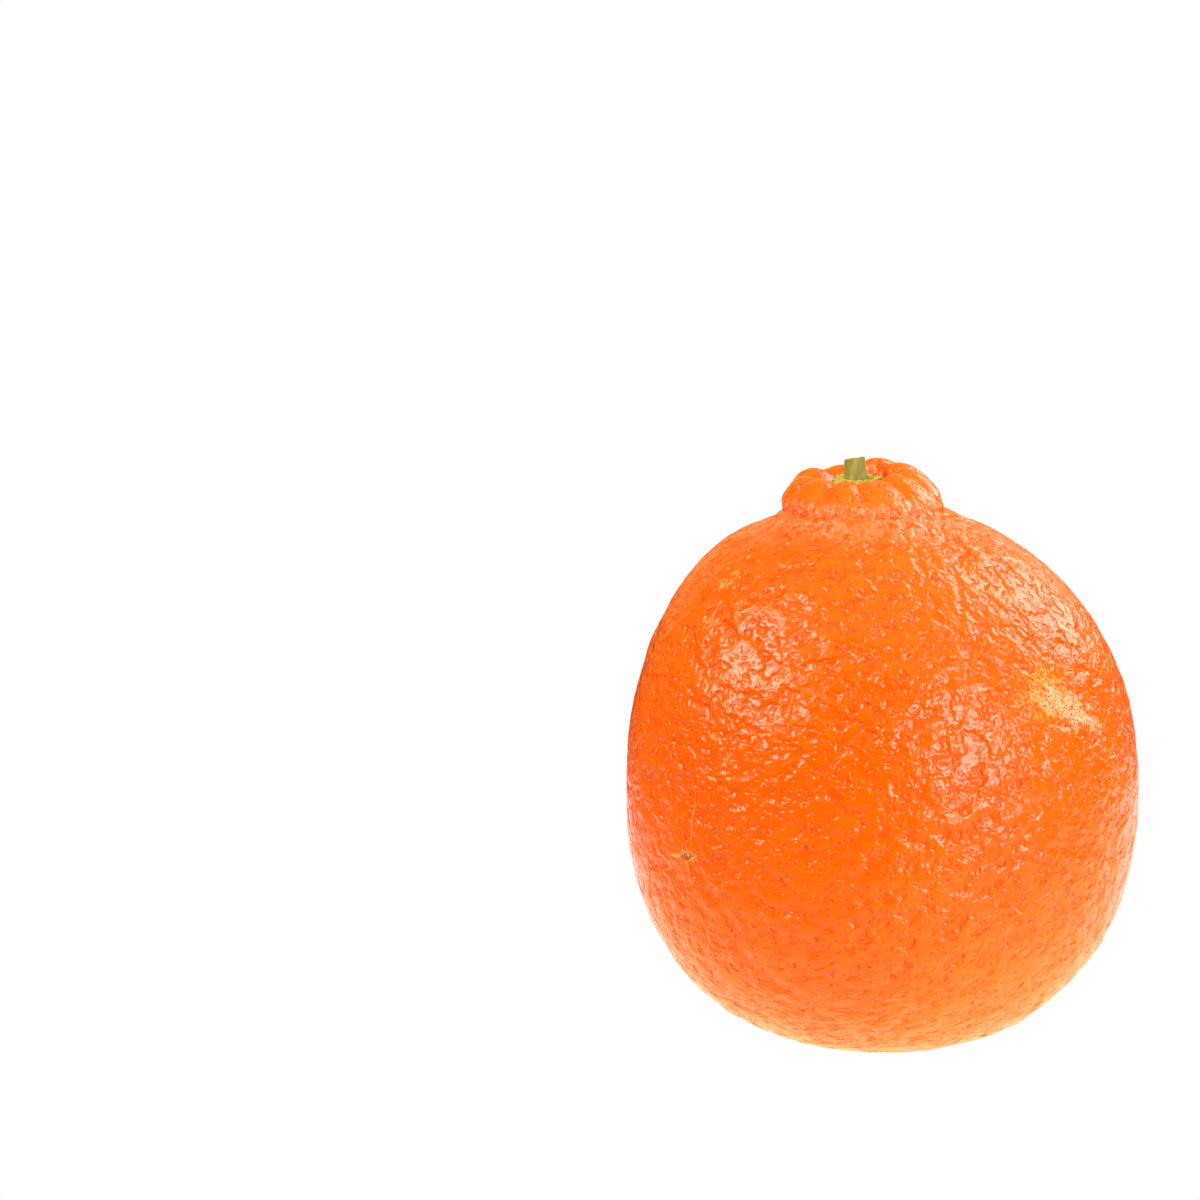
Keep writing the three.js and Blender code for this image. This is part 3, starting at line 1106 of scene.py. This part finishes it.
    def spot(self, mark: Mark, shift: Array) -> Spot:
        """Where a mark lies, and its two directions over the skin.

        Args:
            mark: The mark.
            shift: The shift that centred the fruit, in mm.

        Returns:
            Its middle, and the directions across and along it divided by its half sizes, all in metres.
        """
        angle = math.radians(mark.angle)
        rise = mark.height - self.widest_height
        shoulder = (self.shoulder_height, self.shoulder_fullness)
        semi_height, fullness = shoulder if rise > 0 else (self.belly_depth, self.belly_fullness)
        share = abs(rise) / semi_height
        radius = self.body_radius * (1 - share**fullness) ** (1 / fullness)
        steep = share ** (fullness - 1) / semi_height
        steep /= (radius / self.body_radius) ** (fullness - 1) / self.body_radius
        outward = Vector((math.sin(angle), -math.cos(angle), 0.0))
        normal = (outward + Vector((0, 0, math.copysign(steep, rise)))).normalized()
        level = Vector((0, 0, 1)).cross(outward).normalized()
        upward = normal.cross(level)
        turn = math.radians(mark.turn)
        across = level * math.cos(turn) + upward * math.sin(turn)
        along = upward * math.cos(turn) - level * math.sin(turn)
        middle = outward * radius + Vector((float(self.lean_at(mark.height)), 0, mark.height)) + Vector(shift)
        return middle * MM, across / (mark.half_width * MM), along / (mark.half_height * MM)

    def assemble(self, effects: Effects) -> bpy.types.Object:
        """Builds and dresses the fruit.

        Args:
            effects: The shared effects.

        Returns:
            The rind's object.
        """
        mesh, shift = self.build()
        spots = {mark: self.spot(mark, shift) for mark in MARKS}
        return add_piece(mesh, self.finish.make(effects, spots), "fruit")


# The calyx


@dataclass(frozen=True)
class CalyxFinish:
    """Dry olive-yellow sepals with fine furrows, darkened brown in them as painted shade, and brown specks.

    The mottle is a size in mm and a contrast, and the furrows are a spacing in mm and a width.
    """

    pale: Colour = colour("dcc84a")
    olive: Colour = colour("a8a038")
    speck_brown_and_furrow_shade: Colour = colour("5a4420")
    specks: Pits = Pits(spacing=1.0, radius=0.30, edge=0.12, depth=0.0, tint=0.8)
    mottle: Pair = (1.6, 2.6)
    furrows: Pair = (0.8, 0.06)
    # Painted shade: the share of brown laid into the furrows
    furrow_shade_tint: float = 0.35
    furrow_depth: float = 0.05
    roughness: float = 0.62

    def make(self, effects: Effects) -> bpy.types.Material:
        """Builds the material.

        Args:
            effects: The shared effects.

        Returns:
            The calyx's material.
        """
        material, bench, place = new_material("calyx")
        tone = bench.mix(effects.uneven(bench, place, *self.mottle), self.olive, self.pale)
        specks = self.specks.mask(bench, effects, place)
        tone = bench.mix(bench.maths("MULTIPLY", specks, self.specks.tint), tone, self.speck_brown_and_furrow_shade)
        furrows = effects.furrowed(bench, place, *self.furrows)
        # Painted shade: brown laid into the furrows
        tone = bench.mix(bench.maths("MULTIPLY", furrows, self.furrow_shade_tint), tone, self.speck_brown_and_furrow_shade)
        bench.surface(tone, self.roughness, bench.maths("MULTIPLY", furrows, -self.furrow_depth))
        return material


@dataclass
class Calyx:
    """Five sepals on one disc, lying in the stem's hollow. All sizes are in mm."""

    sepals: tuple[Pair, ...] = ((6, 0.05), (76, 0.9), (150, 0.6), (222, 0.6), (290, 0.35))
    half_angle: float = 33.0
    bluntness: float = 0.6
    curl_band: Pair = (1.9, 3.2)
    thin_band: Pair = (2, 4)
    tip_radius: float = 4.4
    disc_radius: float = 2.5
    thickness: float = 0.75
    tip_thickness: float = 0.62
    collar_radius: float = 2.1
    collar_height: float = 0.2
    sink: float = 0.2
    columns: int = 240
    rings: int = 28
    finish: CalyxFinish = field(default_factory=CalyxFinish)

    def star(self, angle: Array) -> tuple[Array, Array]:
        """The star's outline at each angle.

        Args:
            angle: Degrees round the stem.

        Returns:
            How far out it reaches, 0 between the sepals and 1 at a tip, and how strongly it curls up.
        """
        nearness = np.zeros_like(angle)
        curl = np.zeros_like(angle)
        for middle, own_curl in self.sepals:
            away = np.abs((angle - middle + 180) % 360 - 180)
            near = np.maximum(0, 1 - away / self.half_angle)
            nearness = np.maximum(nearness, near)
            curl = curl + own_curl * near
        return nearness**self.bluntness, curl

    def build(self) -> bpy.types.Mesh:
        """Makes the star as a thin closed shell, sunk a little so that it grows out of the rind.

        Returns:
            The mesh in its place.
        """
        share = np.linspace(0, 1, self.rings + 1)[1:]
        side = np.concatenate([np.zeros(self.rings), np.ones(self.rings)])[:, None]
        share = np.concatenate([share, share[::-1]])[:, None]
        angle = (np.arange(self.columns) * 360.0 / self.columns)[None, :]
        reach, curl = self.star(angle)
        radius = share * (self.disc_radius + (self.tip_radius - self.disc_radius) * reach)
        lift = curl * smoothstep(radius, *self.curl_band)
        thinned = (self.tip_thickness - self.thickness) * smoothstep(radius, *self.thin_band)
        collar = self.collar_height * (1 - smoothstep(radius, self.collar_radius, self.disc_radius))
        turn = np.radians(angle)
        height = lift + side * (self.thickness + thinned + collar)
        points = np.stack(np.broadcast_arrays(radius * np.sin(turn), -radius * np.cos(turn), height), axis=-1)
        shift = centring(points, "calyx")
        shift[2] -= self.sink
        return ring_mesh("sepals", points + shift)

    def assemble(self, effects: Effects) -> bpy.types.Object:
        """Builds and dresses the calyx."""
        return add_piece(self.build(), self.finish.make(effects), "calyx")


# The stem


@dataclass(frozen=True)
class StemFinish:
    """Olive-green bark with grey streaks, and a pale cut end.

    The streaks are a size in mm and a contrast, and the furrows are a spacing in mm and a width.
    """

    bark: Colour = colour("7a8028")
    grey: Colour = colour("a0984c")
    cut: Colour = colour("e4e6a0")
    drawn_out: Triple = (1.0, 1.0, 0.2)
    streaks: Pair = (0.7, 4.0)
    furrows: Pair = (0.5, 0.08)
    furrow_depth: float = 0.05
    roughness: float = 0.6

    def make(self, effects: Effects) -> bpy.types.Material:
        """Builds the material.

        Args:
            effects: The shared effects.

        Returns:
            The stem's material.
        """
        material, bench, place = new_material("stem")
        upright = bench.stretch(place, self.drawn_out)
        tone = bench.mix(effects.uneven(bench, upright, *self.streaks), self.bark, self.grey)
        tone = bench.mix(bench.attribute("on_cut"), tone, self.cut)
        furrows = effects.furrowed(bench, upright, *self.furrows)
        bench.surface(tone, self.roughness, bench.maths("MULTIPLY", furrows, -self.furrow_depth))
        return material


@dataclass
class Stem:
    """The short stub left by the clippers, cut a little aslant. All sizes are in mm."""

    length: float = 2.85
    foot_radius: float = 1.82
    top_radius: float = 1.6
    cut_slope: Pair = (0.18, 0.2)
    lean: float = 0.25
    ridge: float = 0.09
    ridge_count: int = 5
    ridge_phase: float = 0.6
    flare: float = 1.1
    sink: float = 0.45
    columns: int = 180
    rows: int = 60
    finish: StemFinish = field(default_factory=StemFinish)

    def build(self) -> bpy.types.Mesh:
        """Makes the stub as a ridged, tapered post with a slanting top, its foot sunk into the calyx.

        Returns:
            The mesh in its place.
        """
        corners = np.array(
            [
                (0.0, -self.sink),
                (self.foot_radius * self.flare, -self.sink),
                (self.foot_radius, 0.1 * self.length),
                ((self.foot_radius + self.top_radius) / 2, 0.5 * self.length),
                (self.top_radius, 0.96 * self.length),
                (self.top_radius * 0.93, self.length),
                (0.0, self.length),
            ]
        )
        length = np.concatenate([[0], np.cumsum(np.linalg.norm(np.diff(corners, axis=0), axis=1))])
        even = np.linspace(0, length[-1], self.rows + 2)[1:-1]
        radius, height = (np.interp(even, length, corners[:, axis])[:, None] for axis in (0, 1))
        turn = np.radians(np.arange(self.columns) * 360.0 / self.columns)[None, :]
        waves = np.cos(self.ridge_count * turn + self.ridge_phase)
        ridged = radius + radius / self.foot_radius * self.ridge * waves
        right, back = ridged * np.sin(turn), -ridged * np.cos(turn)
        share = np.maximum(height, 0) / self.length
        raised = height + share * (self.cut_slope[0] * right - self.cut_slope[1] * back)
        points = np.stack(np.broadcast_arrays(right - self.lean * share, back, raised), axis=-1)
        mesh = ring_mesh("stub", points + centring(points, "stem"))
        on_cut = np.broadcast_to(smoothstep(height, 0.97 * self.length, self.length), points.shape[:2])
        store(mesh, "on_cut", np.concatenate([on_cut.ravel(), [0.0, 1.0]]))
        return mesh

    def assemble(self, effects: Effects) -> bpy.types.Object:
        """Builds and dresses the stem."""
        return add_piece(self.build(), self.finish.make(effects), "stem")


# Studio


@dataclass(frozen=True)
class Softbox:
    """A big soft lamp. Distance and size are in metres, and its angles in degrees are seen from the fruit."""

    name: str
    azimuth: float
    elevation: float
    distance: float
    width: float
    height: float
    radiance: float
    tint: Triple = (1.0, 0.95, 0.82)

    def place(self, target: Vector) -> None:
        """Puts the lamp into the scene, facing the fruit.

        Args:
            target: What it faces.
        """
        lamp = bpy.data.lights.new(self.name, "AREA")
        lamp.shape = "RECTANGLE"
        lamp.size = self.width
        lamp.size_y = self.height
        lamp.color = self.tint
        lamp.energy = self.radiance * math.pi * self.width * self.height
        piece = new_object(self.name, lamp)
        azimuth, elevation = math.radians(self.azimuth), math.radians(self.elevation)
        level = math.cos(elevation)
        towards = Vector((math.sin(azimuth) * level, -math.cos(azimuth) * level, math.sin(elevation)))
        piece.location = target + towards * self.distance
        piece.rotation_euler = towards.to_track_quat("Z", "Y").to_euler()
        piece.visible_camera = False


@dataclass
class Studio:
    """The camera, the white floor and backdrop, and the lamps. Sizes are in metres."""

    fruit_middle: Vector = field(default_factory=lambda: Vector((0.0, 0.0, 0.041)))
    camera_distance: float = 0.7
    camera_elevation: float = 12.5
    camera_yaw: float = 3.780
    camera_pitch: float = 10.032
    image_width: float = 1200.0
    focal_length: float = 4361.0
    sensor_width: float = 36.0
    floor_radius: float = 4.0
    floor_glow: float = 1.75
    floor_tint: Colour = (1.0, 0.88, 0.42, 1.0)
    far_tint: Colour = (1.0, 0.90, 0.80, 1.0)
    far_band: Pair = (-0.04, 0.10)
    glow_middle: Triple = (0.05, 0.07, 0.0)
    glow_band: Pair = (0.10, 0.24)
    edge_glow: float = 0.05
    backdrop_band: Pair = (0.72, 0.98)
    backdrop_glow: Pair = (0.04, 0.9)
    ceiling_band: Pair = (0.55, 0.98)
    ceiling_glow: float = 0.8
    wall_tint: Colour = (1.0, 0.88, 0.34, 1.0)
    beside_band: Pair = (-0.95, -0.35)
    beside_glow: float = 0.25
    beside_tint: Colour = (1.0, 0.42, 0.06, 1.0)
    softboxes: tuple[Softbox, ...] = (
        Softbox("left_softbox", -67.5, 33.0, 0.77, 0.48, 0.48, 6.0),
        Softbox("left_hot_spot", -67.5, 33.0, 0.75, 0.28, 0.28, 8.5),
        Softbox("right_softbox", 45.0, 11.0, 0.82, 0.46, 0.6, 6.5),
        Softbox("right_hot_spot", 45.0, 11.0, 0.8, 0.30, 0.42, 6.5),
        Softbox("back_softbox", 129.0, 34.0, 0.8, 0.56, 0.52, 6.0),
    )

    def place_camera(self) -> None:
        """Puts the camera where the photograph was taken from, turned so that the fruit is off centre."""
        lens = bpy.data.cameras.new("camera")
        lens.sensor_width = self.sensor_width
        lens.lens = self.focal_length / self.image_width * self.sensor_width
        lens.clip_start = 0.01
        lens.clip_end = 50.0
        camera = new_object("camera", lens)
        rise = math.radians(self.camera_elevation)
        back = Vector((0.0, -math.cos(rise), math.sin(rise)))
        camera.location = self.fruit_middle + back * self.camera_distance
        camera.rotation_euler = (math.radians(90 - self.camera_pitch), 0.0, math.radians(self.camera_yaw))
        bpy.context.scene.camera = camera

    def lay_floor(self) -> None:
        """Lays a white floor that glows like an overlit light table, so no shadow shows on it."""
        turn = np.linspace(0, 2 * math.pi, 96, endpoint=False)
        edge = np.stack([np.cos(turn), np.sin(turn), np.zeros_like(turn)], axis=-1) * self.floor_radius
        mesh = bpy.data.meshes.new("floor")
        mesh.from_pydata(edge, [], [list(range(len(edge)))])
        material, bench, place = new_material("floor")
        away = bench.vector("DISTANCE", place, self.glow_middle, output="Value")
        lit = bench.step(away, *self.glow_band, self.floor_glow, self.edge_glow)
        hue = bench.mix(bench.step(bench.axis(place, "Y"), *self.far_band), self.floor_tint, self.far_tint)
        glow = bench.node("ShaderNodeEmission", bench.unseen_glow(lit, hue))
        bench.node("ShaderNodeOutputMaterial", {"Surface": glow.outputs[0]})
        mesh.materials.append(material)
        floor = new_object("floor", mesh)

    def hang_sky(self) -> None:
        """Surrounds the set with a white backdrop, dim walls in front and a warm glow on the left."""
        world = bpy.data.worlds.new("studio")
        world.use_nodes = True
        bpy.context.scene.world = world
        bench = Bench(world.node_tree)
        direction = bench.node("ShaderNodeTexCoord").outputs["Generated"]
        behind = bench.step(bench.axis(direction, "Y"), *self.backdrop_band, *self.backdrop_glow)
        above = bench.step(bench.axis(direction, "Z"), *self.ceiling_band, 0.0, self.ceiling_glow)
        beside = bench.step(bench.axis(direction, "X"), *self.beside_band, 1.0, 0.0)
        around = bench.maths("MULTIPLY_ADD", beside, self.beside_glow, bench.maths("ADD", behind, above))
        hue = bench.mix(beside, self.wall_tint, self.beside_tint)
        glow = bench.node("ShaderNodeBackground", bench.unseen_glow(around, hue))
        bench.node("ShaderNodeOutputWorld", {"Surface": glow.outputs[0]})

    def set_up(self) -> None:
        """Builds the whole set and chooses plain output colours."""
        self.place_camera()
        self.lay_floor()
        self.hang_sky()
        for softbox in self.softboxes:
            softbox.place(self.fruit_middle)
        bpy.context.scene.view_settings.view_transform = "Standard"
        bpy.context.scene.view_settings.look = "None"


def main() -> None:
    """Builds the set and the three pieces, and reports each."""
    logging.basicConfig(level=logging.INFO, format="%(message)s")
    Studio().set_up()
    effects = Effects()
    for part in (Fruit(), Calyx(), Stem()):
        piece = part.assemble(effects)
        log.info("%s is in place", piece.name)


if __name__ == "__main__":
    main()
